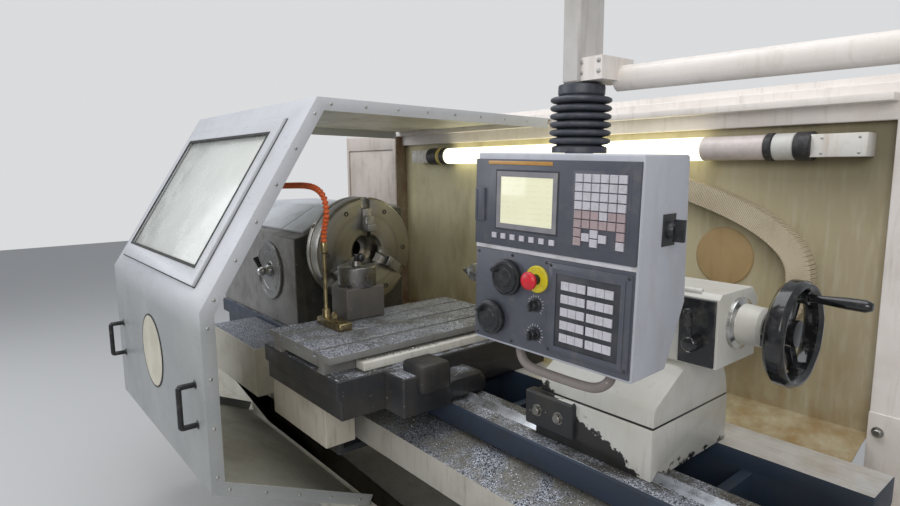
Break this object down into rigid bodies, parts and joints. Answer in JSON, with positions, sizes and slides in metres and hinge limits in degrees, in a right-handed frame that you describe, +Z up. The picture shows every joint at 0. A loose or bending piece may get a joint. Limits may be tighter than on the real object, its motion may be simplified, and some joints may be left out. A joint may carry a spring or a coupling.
{
  "type": "cnc lathe",
  "caption": "Flat-bed turning lathe with chuck, carriage and tool post, tailstock with hand wheel, sliding sheet guard with window, splash wall and swinging control pendant.",
  "frame": {"origin": "on the floor plane under the base, at the spindle axis in Y and near the middle of the bed in X", "axes": "+X along the bed from the headstock to the tailstock, +Y from the operator's side to the splash wall, +Z up"},
  "size_m": [3.61, 1.7488, 1.95],
  "materials": {
    "cream_paint": "semi-gloss cream paint, worn",
    "frame_paint": "satin warm white paint",
    "wall_paint": "satin olive beige paint, stained",
    "guard_paint": "satin light grey paint",
    "machine_grey": "oily grey paint",
    "dark_iron": "dark oiled iron",
    "ground_iron": "ground ways on grey cast iron",
    "bare_steel": "machined steel",
    "brass": "brass pipe and valve",
    "orange_plastic": "orange jointed plastic hose",
    "orange_cover": "orange brown cover",
    "black_gloss": "glossy black",
    "black_knob": "matt black plastic",
    "black_rubber": "dark folded rubber",
    "pendant_grey": "light grey paint",
    "control_dark": "dark blue grey panel",
    "screen_glass": "lit pale screen",
    "red_plastic": "red mushroom button",
    "lamp_white": "white tube with end caps",
    "window_glass": "clear safety pane, dusty"
  },
  "bodies": {
    "frame": {"base": "cream_paint", "bed": "ground_iron", "screw_cover": "cream_paint", "feed_box_cover": "cream_paint", "headstock": "machine_grey", "headstock_lid": "cream_paint", "range_dial": "bare_steel", "rear_frame": "frame_paint", "rear_wall": "wall_paint", "port_cover": "orange_cover", "tube_lamp": "lamp_white", "energy_chain": "cream_paint", "control_cabinet": "frame_paint", "pendant_column": "frame_paint", "z_servo_motor": "dark_iron"},
    "spindle": {"spindle": "bare_steel", "chuck_body": "bare_steel"},
    "jaw_1": {"chuck_jaw_1": "bare_steel"},
    "jaw_2": {"chuck_jaw_2": "bare_steel"},
    "jaw_3": {"chuck_jaw_3": "bare_steel"},
    "range_lever": {"range_lever": "bare_steel"},
    "ball_screw": {"ball_screw": "bare_steel"},
    "carriage": {"saddle": "dark_iron", "nut_bracket": "machine_grey", "apron_cover": "cream_paint", "x_servo_motor": "dark_iron", "slide_cover": "frame_paint"},
    "cross_slide": {"cross_slide": "bare_steel", "tool_post_block": "dark_iron", "coolant_pipe": "brass", "coolant_hose": "orange_plastic"},
    "turret": {"tool_drum": "dark_iron", "turning_tool": "bare_steel"},
    "guard": {"guard_shell": "guard_paint", "window_frame": "guard_paint", "window_pane": "window_glass", "guard_handle_left": "black_gloss", "guard_handle_right": "black_gloss", "guard_plate": "cream_paint"},
    "tailstock": {"tailstock_base": "dark_iron", "tailstock_casting": "cream_paint", "clamp_plate": "black_gloss"},
    "quill": {"quill": "bare_steel"},
    "live_centre": {"live_centre": "bare_steel"},
    "hand_wheel": {"hand_wheel": "black_gloss"},
    "crank_grip": {"crank_grip": "black_gloss"},
    "clamp_lever": {"clamp_lever": "bare_steel"},
    "arm": {"pendant_arm": "frame_paint"},
    "pendant": {"pendant_housing": "pendant_grey", "control_unit": "control_dark", "screen": "screen_glass", "operator_panel": "control_dark", "pendant_bellows": "black_rubber", "pendant_handle": "machine_grey"},
    "stop_button": {"stop_button": "red_plastic"},
    "pulse_wheel_upper": {"pulse_wheel_upper": "black_knob"},
    "pulse_wheel_lower": {"pulse_wheel_lower": "black_knob"},
    "feed_knob": {"feed_knob": "black_knob"},
    "speed_knob": {"speed_knob": "black_knob"},
    "side_switch": {"side_switch": "black_knob"}
  },
  "joints": [
    {"name": "spindle_spin", "type": "hinge", "parent": "frame", "child": "spindle", "pos_m": [-0.6, 0, 1.1103], "axis": [1, 0, 0], "continuous": true},
    {"name": "jaw_1_slide", "type": "slide", "parent": "spindle", "child": "jaw_1", "axis": [0, 0, 1], "range_m": [-0.03, 0.03]},
    {"name": "jaw_2_slide", "type": "slide", "parent": "spindle", "child": "jaw_2", "axis": [0, -0.866, -0.5], "range_m": [-0.03, 0.03]},
    {"name": "jaw_3_slide", "type": "slide", "parent": "spindle", "child": "jaw_3", "axis": [0, 0.866, -0.5], "range_m": [-0.03, 0.03]},
    {"name": "range_lever_turn", "type": "hinge", "parent": "frame", "child": "range_lever", "pos_m": [-0.911, -0.2786, 0.9903], "axis": [0, -1, 0], "range_deg": [-45, 45]},
    {"name": "carriage_slide", "type": "slide", "parent": "frame", "child": "carriage", "axis": [1, 0, 0], "range_m": [-0.28, 0.2]},
    {"name": "ball_screw_turn", "type": "hinge", "parent": "frame", "child": "ball_screw", "pos_m": [0.4, -0.348, 0.5753], "axis": [1, 0, 0], "range_deg": [-10085, 7205]},
    {"name": "cross_slide_move", "type": "slide", "parent": "carriage", "child": "cross_slide", "axis": [0, 1, 0], "range_m": [-0.1, 0.15]},
    {"name": "turret_turn", "type": "hinge", "parent": "cross_slide", "child": "turret", "pos_m": [-0.017, -0.306, 1.0532], "axis": [0, 0, 1], "continuous": true},
    {"name": "guard_slide", "type": "slide", "parent": "frame", "child": "guard", "axis": [1, 0, 0], "range_m": [-0.55, 0.62]},
    {"name": "tailstock_slide", "type": "slide", "parent": "frame", "child": "tailstock", "axis": [1, 0, 0], "range_m": [-0.2, 0.2]},
    {"name": "hand_wheel_turn", "type": "hinge", "parent": "tailstock", "child": "hand_wheel", "pos_m": [1.42, 0, 1.1103], "axis": [1, 0, 0], "range_deg": [-7200, 1800]},
    {"name": "quill_feed", "type": "slide", "parent": "tailstock", "child": "quill", "axis": [-1, 0, 0], "range_m": [-0.1201, 0.0301]},
    {"name": "live_centre_spin", "type": "hinge", "parent": "quill", "child": "live_centre", "pos_m": [0.4, 0, 1.1103], "axis": [1, 0, 0], "continuous": true},
    {"name": "crank_grip_spin", "type": "hinge", "parent": "hand_wheel", "child": "crank_grip", "pos_m": [1.4323, 0.04225, 1.18976], "axis": [1, 0, 0], "continuous": true},
    {"name": "clamp_lever_turn", "type": "hinge", "parent": "tailstock", "child": "clamp_lever", "pos_m": [1.242, -0.1066, 1.0723], "axis": [0, -1, 0], "range_deg": [-45, 60]},
    {"name": "arm_swing", "type": "hinge", "parent": "frame", "child": "arm", "pos_m": [1.853, -0.268, 1.681], "axis": [0, 0, 1], "range_deg": [0, 60]},
    {"name": "pendant_swivel", "type": "hinge", "parent": "arm", "child": "pendant", "pos_m": [1.10225, -0.39537, 1.62504], "axis": [0.0279, 0.0015, 0.9996], "range_deg": [-30, 30]},
    {"name": "stop_press", "type": "slide", "parent": "pendant", "child": "stop_button", "axis": [-0.052, 0.9986, 0], "range_m": [0, 0.006]},
    {"name": "pulse_wheel_upper_turn", "type": "hinge", "parent": "pendant", "child": "pulse_wheel_upper", "pos_m": [0.99424, -0.50524, 1.24807], "axis": [0.052, -0.9986, 0], "continuous": true},
    {"name": "pulse_wheel_lower_turn", "type": "hinge", "parent": "pendant", "child": "pulse_wheel_lower", "pos_m": [0.94497, -0.5078, 1.1469], "axis": [0.052, -0.9986, 0], "continuous": true},
    {"name": "feed_knob_turn", "type": "hinge", "parent": "pendant", "child": "feed_knob", "pos_m": [1.07368, -0.5011, 1.19482], "axis": [0.052, -0.9986, 0], "range_deg": [-135, 135]},
    {"name": "speed_knob_turn", "type": "hinge", "parent": "pendant", "child": "speed_knob", "pos_m": [1.07184, -0.5012, 1.12885], "axis": [0.052, -0.9986, 0], "range_deg": [-135, 135]},
    {"name": "side_switch_turn", "type": "hinge", "parent": "pendant", "child": "side_switch", "pos_m": [1.31296, -0.37889, 1.37104], "axis": [0.9983, 0.052, -0.0279], "range_deg": [0, 90]}
  ],
  "couplings": [
    {"joint": "jaw_2_slide", "follows": "jaw_1_slide", "ratio": 1},
    {"joint": "jaw_3_slide", "follows": "jaw_1_slide", "ratio": 1},
    {"joint": "ball_screw_turn", "follows": "carriage_slide", "rad_per_m": 628.32},
    {"joint": "quill_feed", "follows": "hand_wheel_turn", "m_per_rad": 0.00095493}
  ]
}
